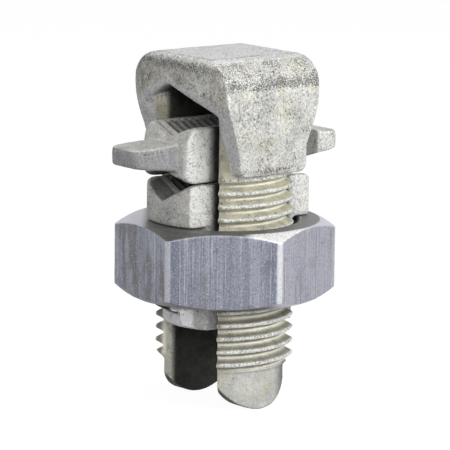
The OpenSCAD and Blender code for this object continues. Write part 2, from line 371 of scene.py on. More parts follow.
def cast_finish(name, pale, dull, straw, olive, rubbed):
    """Plated casting: grainy pale metal, straw where turned, dark stipple, painted shade in hollows and where
    kept, and bright edges, some worn and some painted highlights.
    """
    material, tree, shader = metal(name, metallic=0.15, rough=0.5)
    shader.inputs["Specular IOR Level"].default_value = 0.15
    spot = place(tree, "ShaderNodeTexCoord").outputs["Object"]

    # Plating, clouded and warm in patches, and grey where the casting's skin is grey or painted in shade.
    cloud = patches(tree, spot, per_mm=0.32, detail=4.0, low=0.42, high=0.66, rough=0.6)
    colour = lay(tree, pale, dull, cloud, 0.45)
    warm = patches(tree, spot, per_mm=0.24, detail=2.0, low=0.48, high=0.66)
    colour = lay(tree, colour, straw, warm, 0.5)
    shade = kept_value(tree, "dull")
    smoke = patches(tree, spot, per_mm=0.5, detail=3.0, low=0.40, high=0.60, rough=0.6)
    colour = lay(tree, colour, lay(tree, dull, olive, smoke), shade)
    stain = patches(tree, spot, per_mm=0.55, detail=5.0, low=0.50, high=0.66, rough=0.7)
    colour = lay(tree, colour, STAIN_GREY, times(tree, stain, shade), 0.85)
    colour = lay(tree, colour, LILAC_GREY, kept_value(tree, "cool"))

    # Edges and high spots worn bright, painted highlights where kept, and the grain of the cast skin.
    proud = kept_value(tree, "proud")
    high_spots = times(tree, ramp(tree, proud, low=0.035, high=0.10), 0.7)
    colour = lay(tree, colour, rubbed, reckon(tree, "MAXIMUM", kept_value(tree, "rubbed"), high_spots))
    grain = noise(tree, spot, per_mm=2.6, detail=4.0, rough=0.75)
    rough_skin = reckon(tree, "MULTIPLY_ADD", kept_value(tree, "smooth"), -0.55, 0.75)
    colour = lay(tree, colour, dull, ramp(tree, grain, low=0.49, high=0.62), rough_skin)
    colour = lay(tree, colour, rubbed, ramp(tree, grain, low=0.44, high=0.34), times(tree, rough_skin, 0.75))

    # Straw and olive where the piece is turned, dark pits, painted shade in hollows, and a painted highlight
    # along the thread's roots.
    turned = kept_value(tree, "turned")
    sheen = patches(tree, spot, per_mm=0.5, detail=3.0, low=0.38, high=0.62)
    colour = lay(tree, colour, lay(tree, straw, olive, sheen), turned)
    fine_dots = noise(tree, spot, per_mm=4.2, detail=3.0, rough=0.7)
    dotted = reckon(tree, "MULTIPLY_ADD", noise(tree, spot, per_mm=0.45, detail=3.0), 0.3, fine_dots)
    dotted = reckon(tree, "MULTIPLY_ADD", kept_value(tree, "specks"), 0.16, dotted)
    pit = ramp(tree, dotted, low=0.75, high=0.88)
    colour = lay(tree, colour, PIT_BLACK, pit, 0.8)
    blow_hole = patches(tree, spot, per_mm=1.5, detail=1.0, low=0.72, high=0.76, rough=0.5)
    colour = lay(tree, colour, HOLE_BLACK, blow_hole, rough_skin)
    # Painted shade with some dirt in hollows, from how far each point lies below its neighbours.
    hollow = times(tree, ramp(tree, proud, low=-0.03, high=-0.12), reckon(tree, "SUBTRACT", 1.0, turned))
    colour = lay(tree, colour, HOLLOW_BLACK, hollow, 0.6)
    # Painted highlight along the thread's roots.
    colour = lay(tree, colour, ROOT_PALE, kept_value(tree, "root"))

    # Bare metal where the piece is torn, and painted shade with some grime on top of it all.
    shreds = patches(tree, spot, per_mm=1.3, detail=3.0, low=0.34, high=0.46, rough=0.7)
    colour = lay(tree, colour, lay(tree, TORN_GREY, TORN_BRIGHT, shreds), kept_value(tree, "torn"))
    grime = kept_value(tree, "grime")
    mottle = patches(tree, spot, per_mm=0.3, detail=5.0, low=0.40, high=0.62, rough=0.65)
    colour = lay(tree, colour, lay(tree, SOOT_BLACK, SOOT_BROWN, mottle), grime)
    tree.links.new(colour, shader.inputs["Base Color"])

    rough = place(tree, "ShaderNodeMapRange", {"Value": grain, "To Min": 0.42, "To Max": 0.66})
    sooty = reckon(tree, "MULTIPLY_ADD", grime, 0.3, rough.outputs["Result"])
    tree.links.new(sooty, shader.inputs["Roughness"])
    dents = reckon(tree, "MULTIPLY_ADD", pit, -0.7, grain)
    calm = reckon(tree, "MULTIPLY_ADD", turned, -0.6, 0.8)
    bump = place(tree, "ShaderNodeBump", {"Strength": calm, "Distance": 0.14 * MM, "Height": dents})
    tree.links.new(bump.outputs["Normal"], shader.inputs["Normal"])
    return material


bolt_metal = cast_finish(
    "cast_alloy", pale=(0.64, 0.64, 0.60), dull=(0.31, 0.308, 0.315), straw=(0.59, 0.56, 0.425),
    olive=(0.43, 0.42, 0.335), rubbed=(0.88, 0.88, 0.85))

bolt = merged_copy("split_bolt", "split_bolt_cast")
groove = screw_form(
    "thread_groove", bolt_metal, turns=GROOVE_TURNS, inner_radius=GROOVE_ROOT * MM,
    outer_radius=GROOVE_MOUTH * MM, inner_width=GROOVE_NARROW * MM, outer_width=GROOVE_WIDE * MM,
    first_height=GROOVE_FIRST * MM, first_angle=0.0)
combine(bolt, groove, "DIFFERENCE")


def step(value, low, high):
    """Smooth rise from 0 at low to 1 at high."""
    share = np.clip((value - low) / (high - low), 0, 1)
    return share * share * (3 - 2 * share)


def fall(value, low, high):
    """Smooth fall from 1 at low to 0 at high."""
    return 1 - step(value, low, high)


def hump(value, middle, half):
    """1 at a middle value, fading to 0 on both sides."""
    return np.exp(-((value - middle) / half) ** 2)


def most(*values):
    """The highest of several values at each point."""
    return functools.reduce(np.maximum, values)


def never(x, y, z, nx, ny, nz):
    """Nowhere on the piece."""
    return 0 * z


def head_wear(x, y, z, nx, ny, nz):
    """The whole head, and not the thread."""
    return step(z, HEAD_BASE + 0.1, HEAD_BASE + 0.3)


recast(bolt, grid=0.17 * MM, smooth=3, finish=bolt_metal, share=0.42, rounded=head_wear,
       lump_height=0.16 * MM, lump_size=2.6 * MM, grain_height=0.06 * MM, grain_size=0.7 * MM,
       reach=6, rounding=14)


def across_front(x, y):
    """Place from left to right across the connector's front."""
    return -FRONT_Y * x + FRONT_X * y


def above_roof(x, z):
    """Height of a point over the slot's roof."""
    left, right = (ROOF_RIDGE_X - x) * ROOF_SLOPE_LEFT, (x - ROOF_RIDGE_X) * ROOF_SLOPE_RIGHT
    return z - ROOF_RIDGE_Z + np.where(x < ROOF_RIDGE_X, left, right)


def arched_ends(ny):
    """The head's ends, which face along the slot."""
    return step(np.abs(ny), 0.5, 0.8)


def slot_mouths(x, nx, ny):
    """The bevels beside the slot's mouths, which face half along the slot and half across it."""
    facing = step(np.abs(ny), 0.45, 0.6) * step(np.abs(nx), 0.45, 0.6)
    inner = step(np.abs(x), SLOT_HALF + 0.05, SLOT_HALF + 0.35)
    return facing * inner * fall(np.abs(x), MOUTH_HALF, MOUTH_HALF + 0.4)


def plain_ends(z):
    """The plain leg ends under the thread."""
    return fall(z, LEG_PLAIN, LEG_PLAIN + 0.6)


def leg_turning(x, y, z, nx, ny, nz):
    """The thread's flanks and roots, the plain shank above it, and the bevels beside the slot's mouths."""
    around = np.hypot(x, y)
    shank = step(z, LEG_PLAIN - 0.1, LEG_PLAIN + 0.3) * fall(z, HEAD_BASE - 0.2, HEAD_BASE + 0.2)
    shank = shank * (0.7 + 0.3 * step(z, 16.0, 19.0))
    flank = step(around, GROOVE_ROOT - 1.25, GROOVE_ROOT - 0.65)
    flank = shank * flank * fall(around, THREAD_CREST - 0.27, THREAD_CREST - 0.1)
    out = (x * nx + y * ny) / around
    above = step(z, HEAD_BASE - 1.2, HEAD_BASE) * fall(z, MOUTH_TOP - 2.5, MOUTH_TOP - 0.5)
    above = above * step(np.abs(y), 5.6, 6.2) * step(out, 0.85, 0.95)
    above = above * step(around, THREAD_CREST - 0.6, THREAD_CREST - 0.4)
    above = above * fall(around, THREAD_CREST + 0.1, THREAD_CREST + 0.3)
    mouth = 0.9 * slot_mouths(x, nx, ny) * step(z, 4.0, 9.0) * fall(z, MOUTH_TOP, MOUTH_TOP + 1.6)
    return most(flank, above, mouth)


def thread_roots(x, y, z, nx, ny, nz):
    """A painted highlight: a bright line along the bottom of the thread's groove."""
    around = np.hypot(x, y)
    line = step(around, GROOVE_ROOT - 0.85, GROOVE_ROOT - 0.55)
    line = 0.9 * line * fall(around, GROOVE_ROOT + 0.02, GROOVE_ROOT + 0.14)
    thread = step(z, LEG_PLAIN, LEG_PLAIN + 0.4) * fall(z, HEAD_BASE - 0.6, HEAD_BASE - 0.3)
    return line * thread * step(np.abs(x), SLOT_HALF + 0.45, SLOT_HALF + 0.85)


def head_dullness(x, y, z, nx, ny, nz):
    """Grey skin of the arched ends, paler along the arch's edge, and of the plain leg ends, with painted
    shade on the legs' downward rims and along one side of the plain leg ends.
    """
    ends = (0.75 - 0.6 * step(x, -1.0, 5.0)) * arched_ends(ny) * step(z, HEAD_BASE + 0.2, HEAD_BASE + 1.2)
    lip = fall(above_roof(x, z), 0.6, 1.8)
    # Painted shade on the legs' downward rims and along one side of the plain leg ends.
    rims = 0.95 * step(-nz, 0.2, 0.5) * fall(z, LEG_PLAIN - 2.6, LEG_PLAIN - 0.6)
    right_edge = across_front(x, y) / np.hypot(x, y)
    shaded = 0.8 * step(right_edge, 0.84, 0.98) * plain_ends(z)
    return most(ends * (1 - 0.6 * lip), rims, shaded, 0.3 * plain_ends(z))


def head_cool(x, y, z, nx, ny, nz):
    """Lilac-grey skin of the flat top and of the arch's lip."""
    top = 0.55 * step(nz, 0.85, 0.97) * step(z, HEAD_TOP - 0.6, HEAD_TOP - 0.2)
    lip = 0.45 * fall(above_roof(x, z), 0.7, 2.0) * arched_ends(ny)
    return most(top, lip * step(z, HEAD_BASE + 0.8, HEAD_BASE + 2.8))


def leg_smoothness(x, y, z, nx, ny, nz):
    """The plain leg ends, which are smoother than the head."""
    return 0.75 * fall(z, LEG_PLAIN, LEG_PLAIN + 0.4)


def head_rubbing(x, y, z, nx, ny, nz):
    """Upright corners of the head, the thread's crests and the edges of the flat top, worn bright, and the
    whole flat top painted lighter as lit from above.
    """
    level = np.hypot(nx, ny) + 1e-6
    corner = step(np.abs(nx) / level, 0.46, 0.56) * step(np.abs(ny) / level, 0.42, 0.52)
    corner = 0.95 * corner * step(np.abs(x), 9.2, 9.8)
    corner = corner * step(z, HEAD_BASE + 3.8, HEAD_BASE + 5.8) * step(level, 0.35, 0.55)
    crest = 0.6 * step(np.hypot(x, y), THREAD_CREST - 0.18, THREAD_CREST - 0.08)
    crest = crest * fall(z, HEAD_BASE - 0.6, HEAD_BASE - 0.3)
    brow = 0.6 * step(np.abs(y), TOP_HALF_Y + 0.3, TOP_HALF_Y + 0.5) * step(z, HEAD_TOP - 1.2, HEAD_TOP - 0.8)
    # Painted light: the whole flat top made lighter, as lit from above.
    top = 0.38 * step(nz, 0.8, 0.95) * step(z, HEAD_TOP - 0.8, HEAD_TOP - 0.4)
    return most(corner, crest, brow, top)


def top_brim(x, y):
    """A fine line round the flat top, broken in places."""
    across, along = np.abs(x), np.abs(y)
    sides = hump(across, TOP_HALF_X, 0.2) * fall(along, TOP_HALF_Y, TOP_HALF_Y + 0.3)
    ends = hump(along, TOP_HALF_Y, 0.2) * fall(across, TOP_HALF_X, TOP_HALF_X + 0.3)
    broken = np.sin(1.1 * x + 0.9) + np.sin(0.8 * y + 2.6) + np.sin(2.9 * x + 2.3 * y)
    return step(broken, -1.2, 1.6) * most(sides, ends)


def slot_grime(x, y, z, nx, ny, nz):
    """Painted shade in the slot, on its roof and bevels, on the legs' downward rims, along one side of the
    plain leg ends and on the shank beside the head, the thread darker below the nut, and the flat top's edge.
    """
    across, along, around = np.abs(x), np.abs(y), np.hypot(x, y)
    # Painted shade on the slot's walls, roof and bevels, darkest deep inside.
    wall = fall(across, SLOT_HALF + 0.05, SLOT_HALF + 0.35) * fall(along, 4.9, 6.0)
    roof = 0.985 * step(-nz, 0.5, 0.8) * step(z, 43.0, 44.0) * fall(along, 6.2, 8.6)
    deep = step(x * y, 0.0, 10.0)
    bevel = 0.98 * fall(along, 7.0 - 0.4 * deep, 7.8 + 2.2 * deep)
    bevel = bevel * fall(across, SLOT_HALF + 0.25, SLOT_HALF + 1.25) * step(z, 42.0, 45.0)
    inside = most(wall, bevel) * fall(above_roof(x, z), 0.2, 0.5)
    inside = inside * (0.985 - 0.035 * fall(z, 3.0, 14.0))
    # Painted shade on the legs' downward rims and on the bevels beside the slot's mouths.
    rims = 0.72 * step(-nz, 0.25, 0.5) * fall(z, LEG_PLAIN - 2.6, LEG_PLAIN - 0.6)
    mouth = 0.42 * slot_mouths(x, nx, ny) * step(z, 10.0, 14.0) * fall(z, MOUTH_TOP - 3.0, MOUTH_TOP)
    under_nut = 0.5 * fall(z, 17.0, 18.0) * step(z, LEG_PLAIN, LEG_PLAIN + 0.4)
    under_nut = under_nut * fall(around, THREAD_CREST - 0.3, THREAD_CREST - 0.15)
    under_nut = under_nut * step(around, GROOVE_ROOT + 0.2, GROOVE_ROOT + 0.5)
    # Painted shade along one side of the plain leg ends and on the shank beside the head.
    right_edge = 0.55 * step(across_front(x, y) / around, 0.80, 0.98) * plain_ends(z)
    above = 0.38 * step(z, HEAD_BASE, HEAD_BASE + 1.0) * fall(z, MOUTH_TOP - 1.0, MOUTH_TOP + 1.0)
    above = above * step(along, 5.8, 6.6) * fall(around, THREAD_CREST + 0.1, THREAD_CREST + 0.3)
    brim = 0.36 * top_brim(x, y) * step(z, HEAD_TOP - 0.6, HEAD_TOP - 0.4)
    return most(inside, roof, rims, mouth, under_nut, right_edge, above, brim)


def head_specks(x, y, z, nx, ny, nz):
    """Dark stipple: most on the shoulders, the cheeks' lower edge, the arched ends and the top's rim."""
    band = 0.85 * hump(z, CHEEK_CREASE, 0.65) + 0.8 * hump(z, HEAD_BASE + 0.7, 0.7)
    shoulder = 0.67 * step(z, CHEEK_CREASE - 0.6, CHEEK_CREASE + 0.3)
    shoulder = shoulder * fall(z, HEAD_TOP - 0.7, HEAD_TOP - 0.2)
    side = step(np.abs(x), 8.0, 9.0) * step(z, HEAD_BASE - 0.3, HEAD_BASE) * fall(np.abs(ny), 0.6, 0.8)
    lip = fall(above_roof(x, z), 0.8, 2.2)
    ends = (0.54 - 0.36 * lip) * arched_ends(ny) * step(z, HEAD_BASE + 0.8, HEAD_BASE + 2.8)
    brow = 0.6 * hump(z, BROW, 0.6) * step(np.abs(ny), 0.35, 0.55)
    crest = 0.4 * step(np.hypot(x, y), THREAD_CREST - 0.2, THREAD_CREST - 0.05)
    crest = crest * fall(z, HEAD_BASE - 0.3, HEAD_BASE)
    rim = hump(np.abs(x), TOP_HALF_X, 0.5) + hump(np.abs(y), TOP_HALF_Y, 0.5)
    rim = 0.6 * rim * step(z, HEAD_TOP - 0.7, HEAD_TOP - 0.4)
    plain = 0.3 * step(z, LEG_PLAIN, LEG_PLAIN + 0.4)
    return most((band + shoulder) * side, ends + brow, crest, rim, plain)


paint(bolt, dull=head_dullness, rubbed=head_rubbing, torn=never, cool=head_cool, smooth=leg_smoothness,
      turned=leg_turning, root=thread_roots, grime=slot_grime, specks=head_specks)
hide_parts("split_bolt")
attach(bolt, "bolt")

# The hex nut is cut from drawn hexagon bar of bare alloy, bevelled at both ends and tapped. Drawing leaves
# fine upright streaks and a blue-grey skin on the flats, and handling brightens the corners.
RIDGE_ROOT = 11.4
RIDGE_TIP = 10.25
RIDGE_WIDE = 1.5
RIDGE_NARROW = 0.35
RIDGE_TURNS = 4.6
RIDGE_START = 6.5
RIDGE_FIRST = GROOVE_FIRST + RIDGE_START * THREAD_PITCH
NUT_BORE = THREAD_CREST + 0.05
nut_flat = next(mount for mount in frame["record"]["mounts"] if mount["name"] == "nut_flat")
FLAT_TURN = math.atan2(nut_flat["axis"][1], nut_flat["axis"][0])
FLAT_FROM_AXIS = math.hypot(*nut_flat["pos_m"][:2]) / MM
NUT_CORNER = FLAT_FROM_AXIS / math.cos(math.radians(30))

DRAWN_DARK = (0.185, 0.195, 0.245)
DRAWN_PALE = (0.265, 0.275, 0.335)
FADED_GREY = (0.43, 0.43, 0.48)
EDGE_BLUE = (0.11, 0.125, 0.17)
HAIR_PALE = (0.50, 0.51, 0.58)
HAIR_DARK = (0.09, 0.10, 0.135)
NUT_STAIN = (0.13, 0.128, 0.14)
SMUDGE_BROWN = (0.085, 0.08, 0.082)
BLOT_BLUE = (0.08, 0.085, 0.11)
GRAIN_DARK = (0.10, 0.105, 0.135)
GRAIN_PALE = (0.50, 0.51, 0.56)
BEVEL_LILAC = (0.52, 0.51, 0.57)
OIL_DARK = (0.085, 0.088, 0.082)
OIL_DUSTY = (0.19, 0.19, 0.185)
SCUFF_BRIGHT = (0.78, 0.78, 0.77)
SCUFF_GREY = (0.25, 0.25, 0.25)
BORE_BROWN = (0.06, 0.058, 0.05)
CORNER_BRIGHT = (0.62, 0.625, 0.655)
CORNER_GREY = (0.32, 0.325, 0.35)


def drawn_finish():
    """Drawn bar: upright streaks and stains on the flats, one flat painted paler as light, end faces and
    front bevels in painted shade, pale bevels, a bore in painted shade, bright corners.
    """
    material, tree, shader = metal("drawn_alloy", metallic=0.5, rough=0.4)
    spot = place(tree, "ShaderNodeTexCoord").outputs["Object"]
    drawn = place(tree, "ShaderNodeMapping", {"Vector": spot, "Scale": (1.0, 1.0, 0.012)}).outputs["Vector"]
    smeared = place(tree, "ShaderNodeMapping", {"Vector": spot, "Scale": (1.0, 1.0, 0.3)}).outputs["Vector"]

    # Streaks along the draw, from broad bands to hairs.
    band = patches(tree, drawn, per_mm=0.5, detail=3.0, low=0.36, high=0.64, rough=0.6)
    colour = lay(tree, DRAWN_DARK, DRAWN_PALE, band)
    # Painted light: the flat that faces the key lamp is paler.
    faded = kept_value(tree, "faded")
    colour = lay(tree, colour, FADED_GREY, faded)
    colour = lay(tree, colour, EDGE_BLUE, kept_value(tree, "edge"), 0.6)
    hair = patches(tree, drawn, per_mm=4.0, detail=2.0, low=0.57, high=0.68, rough=0.7)
    colour = lay(tree, colour, HAIR_PALE, hair, 0.7)
    dark_hair = patches(tree, drawn, per_mm=3.4, detail=2.0, low=0.43, high=0.33, rough=0.7)
    colour = lay(tree, colour, HAIR_DARK, dark_hair, 0.75)

    # Stains, smudges and grain on the flats.
    stain = patches(tree, spot, per_mm=0.22, detail=5.0, low=0.52, high=0.64, rough=0.65)
    colour = lay(tree, colour, NUT_STAIN, stain, reckon(tree, "MULTIPLY_ADD", faded, -0.6, 0.55))
    smudge = patches(tree, smeared, per_mm=0.3, detail=4.0, low=0.47, high=0.60, rough=0.6)
    colour = lay(tree, colour, SMUDGE_BROWN, smudge, kept_value(tree, "smudged"))
    blot = patches(tree, spot, per_mm=0.8, detail=2.0, low=0.66, high=0.74)
    colour = lay(tree, colour, BLOT_BLUE, blot, 0.6)
    grain = noise(tree, spot, per_mm=3.4, detail=6.0, rough=0.9)
    colour = lay(tree, colour, GRAIN_DARK, ramp(tree, grain, low=0.52, high=0.62), 0.85)
    colour = lay(tree, colour, GRAIN_PALE, ramp(tree, grain, low=0.47, high=0.38), 0.65)

    # Bevels, end faces and front bevels in painted shade, the bore in painted shade, and corners, painted
    # brighter on the lit side.
    colour = lay(tree, colour, BEVEL_LILAC, kept_value(tree, "bevel"))
    dusty = lay(tree, OIL_DARK, OIL_DUSTY, ramp(tree, grain, low=0.50, high=0.62))
    colour = lay(tree, colour, dusty, kept_value(tree, "oily"))
    scuffed = lay(tree, SCUFF_BRIGHT, SCUFF_GREY, ramp(tree, grain, low=0.52, high=0.60))
    colour = lay(tree, colour, scuffed, kept_value(tree, "scuffed"))
    colour = lay(tree, colour, BORE_BROWN, kept_value(tree, "bore"))
    bright = lay(tree, CORNER_BRIGHT, CORNER_GREY, ramp(tree, grain, low=0.50, high=0.66))
    colour = lay(tree, colour, bright, kept_value(tree, "corner"))
    tree.links.new(colour, shader.inputs["Base Color"])

    rough = place(tree, "ShaderNodeMapRange", {"Value": grain, "To Min": 0.36, "To Max": 0.56})
    tree.links.new(rough.outputs["Result"], shader.inputs["Roughness"])
    streaks = noise(tree, drawn, per_mm=2.4, detail=2.0, rough=0.7)
    lines = reckon(tree, "MULTIPLY_ADD", grain, 0.4, streaks)
    bump = place(tree, "ShaderNodeBump", {"Strength": 0.35, "Distance": 0.06 * MM, "Height": lines})
    tree.links.new(bump.outputs["Normal"], shader.inputs["Normal"])
    return material


nut_metal = drawn_finish()
nut = merged_copy("hex_nut", "hex_nut_drawn")
ridge = screw_form(
    "nut_ridge", nut_metal, turns=RIDGE_TURNS, inner_radius=RIDGE_TIP * MM, outer_radius=RIDGE_ROOT * MM,
    inner_width=RIDGE_NARROW * MM, outer_width=RIDGE_WIDE * MM, first_height=RIDGE_FIRST * MM,
    first_angle=2 * math.pi * (RIDGE_START % 1))
combine(nut, ridge, "UNION")
recast(nut, grid=0.19 * MM, smooth=1, finish=nut_metal, share=0.5, rounded=never,
       lump_height=0.04 * MM, lump_size=2.5 * MM, grain_height=0.02 * MM, grain_size=0.8 * MM, reach=5)


def towards_front(x, y):
    """Place from the back to the front of the connector."""
    return FRONT_X * x + FRONT_Y * y


def on_flat(nx, ny, sixths):
    """One of the nut's flats, counted in sixths of a turn from the one that the record names."""
    turn = FLAT_TURN + sixths * math.radians(60)
    return step(math.cos(turn) * nx + math.sin(turn) * ny, 0.93, 0.97)


def nut_bevels(x, y, z, nx, ny, nz):
    """The bevels at both ends of the nut, and the rims of its bore."""
    return step(np.abs(nz), 0.25, 0.6)


def nut_oil(x, y, z, nx, ny, nz):
    """Painted shade and a painted dark reflection on the flat ring at each end and on the bevels at the
    front.
    """
    beside = across_front(x, y)
    # Painted shade and dark reflection on the end rings and the front bevels.
    ring = 0.85 * step(np.abs(nz), 0.955, 0.98)
    bevel = step(np.abs(nz), 0.3, 0.6) * step(towards_front(x, y), 7.0, 9.0) * fall(beside, 6.0, 9.0)
    return most(ring, bevel) * step(beside, -13.6, -12.2)


def nut_scuffs(x, y, z, nx, ny, nz):
    """The bevel beside one corner, scuffed bright by a wrench."""
    bevel = step(nz, 0.3, 0.5) * fall(nz, 0.95, 0.98)
    return bevel * step(across_front(x, y), 2.5, 5.0) * step(towards_front(x, y), 8.0, 10.0)


def nut_bore(x, y, z, nx, ny, nz):
    """The tapped bore and the rim round it, painted dark as shade around the thread."""
    return fall(np.hypot(x, y), NUT_BORE + 0.35, NUT_BORE + 0.95)


def nut_corners(x, y, z, nx, ny, nz):
    """The strip worn off each upright corner, painted brighter on the side of the nut that faces the key
    lamp.
    """
    # Painted light: corners brighter on the side that faces the key lamp.
    side = 0.5 + 0.5 * step(across_front(x, y), -4.0, 4.0)
    strip = step(np.hypot(x, y), NUT_CORNER - 0.34, NUT_CORNER - 0.24)
    return side * strip * fall(np.abs(nz), 0.3, 0.6)


def nut_fading(x, y, z, nx, ny, nz):
    """The flat that the record names, painted paler as light, as it faces the key lamp."""
    return 0.55 * on_flat(nx, ny, 0)


def nut_smudges(x, y, z, nx, ny, nz):
    """The next flat but one to the left of it, smudged by hand."""
    return 0.75 * on_flat(nx, ny, -2)


def nut_edges(x, y, z, nx, ny, nz):
    """Blue-grey borders of the flat between those two, beside its corners."""
    return on_flat(nx, ny, -1) * step(np.hypot(x, y), NUT_CORNER - 1.6, NUT_CORNER - 0.5)


paint(nut, bevel=nut_bevels, oily=nut_oil, bore=nut_bore, scuffed=nut_scuffs, faded=nut_fading,
      smudged=nut_smudges, edge=nut_edges, corner=nut_corners)
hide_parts("hex_nut")
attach(nut, "nut")

# The pressure bar is a small casting in plated alloy that rides on the nut. Its stem goes down through the
# bore between the legs, and two tabs staked out of the stem's foot keep the nut on it. The punch leaves them
# torn and bright.
NUT_FOOT, PAD_FOOT = span("hex_nut", "z")
STEM_FOOT, PAD_TOP = span("pressure_bar", "z")
BAR_HALF = max(span("pressure_bar", "x"))
PAD_MIDDLE = sum(span("pressure_bar", "y")) / 2
PAD_DIP = 10.3
PAD_GROOVE_HALF = 4.7
UNDER_GROOVE = PAD_TOP - 4.06
NOTCH_STEP = 1.4
NOTCH_END = 8.9
TAB_TOP = STEM_FOOT + 2.14

bar_metal = cast_finish(
    "bar_alloy", pale=(0.62, 0.615, 0.59), dull=(0.33, 0.325, 0.335), straw=(0.56, 0.54, 0.45),
    olive=(0.43, 0.425, 0.345), rubbed=(0.76, 0.76, 0.735))


def along_pad(y):
    """Distance along the pad from its middle."""
    return np.abs(y - PAD_MIDDLE)


def pad_wear(x, y, z, nx, ny, nz):
    """The outside of the bar, and not its toothed groove."""
    groove = fall(np.abs(x), PAD_GROOVE_HALF - 0.3, PAD_GROOVE_HALF + 0.3)
    groove = groove * fall(along_pad(y), PAD_DIP - 0.3, PAD_DIP + 0.3)
    return 1 - groove * step(z, UNDER_GROOVE, UNDER_GROOVE + 0.7)


bar = merged_copy("pressure_bar", "pressure_bar_cast")
recast(bar, grid=0.12 * MM, smooth=3, finish=bar_metal, share=0.55, rounded=pad_wear,
       lump_height=0.12 * MM, lump_size=2.4 * MM, grain_height=0.06 * MM, grain_size=0.6 * MM,
       reach=7, rounding=20)


def notches(y):
    """1 along the bottom of each notch between the teeth, and 0 on the teeth."""
    off = np.abs((y + NOTCH_STEP / 2) % NOTCH_STEP - NOTCH_STEP / 2)
    return hump(off, 0, 0.33)


def tab_side(x, y):
    """Place across the stem, from each tab's outer end at about -6 to its other side at 6."""
    return np.where(y < PAD_MIDDLE, x, -x)


def bar_grime(x, y, z, nx, ny, nz):
    """Painted shade with some grime in the groove's teeth and dips, and painted shade on the sides beside the
    legs and in the gaps over the tabs under the nut.
    """
    along = along_pad(y)
    groove = fall(np.abs(x), PAD_GROOVE_HALF - 0.4, PAD_GROOVE_HALF)
    groove = groove * step(nz, 0.3, 0.6) * step(z, UNDER_GROOVE, UNDER_GROOVE + 1.0)
    # Painted shade with some grime in the groove's dips and between its teeth.
    dips = 0.55 * groove * step(along, PAD_DIP - 0.1, PAD_DIP + 0.2)
    teeth = groove * (0.6 + 0.35 * notches(y - PAD_MIDDLE)) * fall(along, NOTCH_END, NOTCH_END + 0.2)
    # Painted shade on the sides beside the legs, where the legs block the light.
    flat_sides = step(np.abs(nx), 0.85, 0.97)
    sides = most(flat_sides, step(np.abs(x), BAR_HALF - 0.75, BAR_HALF - 0.35))
    sides = sides * step(z, PAD_FOOT - 1.66, PAD_FOOT - 0.66)
    reach = 7.0 - 1.2 * fall(z, 16.0, 18.0)
    sides = 0.985 * most(sides, flat_sides) * fall(along, reach, reach + 1.5)
    # Painted shade in the gap under the nut, over the tabs.
    gap = 0.95 * step(z, TAB_TOP - 0.2, TAB_TOP + 0.2) * fall(z, NUT_FOOT, NUT_FOOT + 0.3)
    gap = gap * fall(tab_side(x, y), 0.4, 1.2) * step(along, 9.0, 9.6)
    return most(dips, teeth, sides, gap)


def bar_specks(x, y, z, nx, ny, nz):
    """Even light stipple."""
    return 0.22 + 0 * z


def bar_dullness(x, y, z, nx, ny, nz):
    """Grey skin on the round ends, the groove's flanks and the stem."""
    ends = 0.4 * step(np.abs(ny), 0.6, 0.8)
    flanks = 0.4 * step(nz, 0.6, 0.9) * step(z, UNDER_GROOVE, UNDER_GROOVE + 1.0)
    return most(ends, flanks, 0.2 * fall(z, PAD_FOOT - 1.66, PAD_FOOT - 0.66))


def corner_rubbing(x, y, z, nx, ny, nz):
    """Painted highlight on the sides beside the slot's mouths, brighter at the far end, with a ragged border.
    """
    ragged = 0.06 * np.sin(2.3 * z + 1) + 0.05 * np.sin(5.1 * z)
    # Painted highlight, brighter towards the far end.
    wear = 0.72 + 0.2 * step(y, -1.0, 1.0)
    sides = step(np.abs(nx) + ragged, 0.70, 0.80) * step(np.abs(x), BAR_HALF - 1.55, BAR_HALF - 1.15)
    return wear * sides * step(np.abs(y), 6.0, 7.8)


def bar_rubbing(x, y, z, nx, ny, nz):
    """Painted highlight on the pad's sides, and the plain strips at the ends of its teeth, worn bright and
    painted lighter than their shade.
    """
    along = along_pad(y)
    # The plain strips, worn bright and painted lighter where the spacer shades them.
    strip = step(along, NOTCH_END + 0.1, NOTCH_END + 0.3) * fall(along, PAD_DIP - 0.2, PAD_DIP)
    strip = strip * step(nz, 0.5, 0.8) * step(z, UNDER_GROOVE + 0.5, UNDER_GROOVE + 1.5)
    return most(corner_rubbing(x, y, z, nx, ny, nz) * step(z, PAD_FOOT - 0.66, PAD_FOOT - 0.06), strip)


def staked_tabs(x, y, z, nx, ny, nz):
    """The foot of the stem, sheared and spread by the punch under the nut."""
    across = tab_side(x, y)
    foot = step(z, STEM_FOOT + 0.2, STEM_FOOT + 0.6) * fall(z, TAB_TOP + 0.7, TAB_TOP + 1.3)
    foot = foot * step(along_pad(y), 8.8, 9.2)
    slant = 0.5 * (z - 14)
    flake = step(across, 0.9 - slant, 1.5 - slant) * fall(across, 3.4, 4.0)
    smear = 0.5 * fall(across, 1.0, 1.6) * fall(z, TAB_TOP - 0.3, TAB_TOP + 0.1)
    return foot * most(flake, smear)


def stem_cool(x, y, z, nx, ny, nz):
    """Lilac-grey skin of the stem's foot."""
    return 0.25 * fall(z, 16.5, 17.5)


paint(bar, turned=never, root=never, grime=bar_grime, specks=bar_specks, dull=bar_dullness,
      rubbed=bar_rubbing, torn=staked_tabs, cool=stem_cool, smooth=never)
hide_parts("pressure_bar")
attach(bar, "bar")

# The spacer bar is a loose casting in plated alloy that lies on the pressure bar, between the run and the tap
# conductor. Rows of teeth in its grooves bite into the wires, and its wings keep it from slipping out.
SPACER_FOOT, SPACER_TOP = span("spacer_bar", "z")
UPPER_GROOVE = SPACER_TOP - 2.66
LOWER_GROOVE = SPACER_FOOT + 1.64
SPACER_GROOVE_HALF = 4.3
GROOVE_END = 10.0
WING_ROOT = 12.6


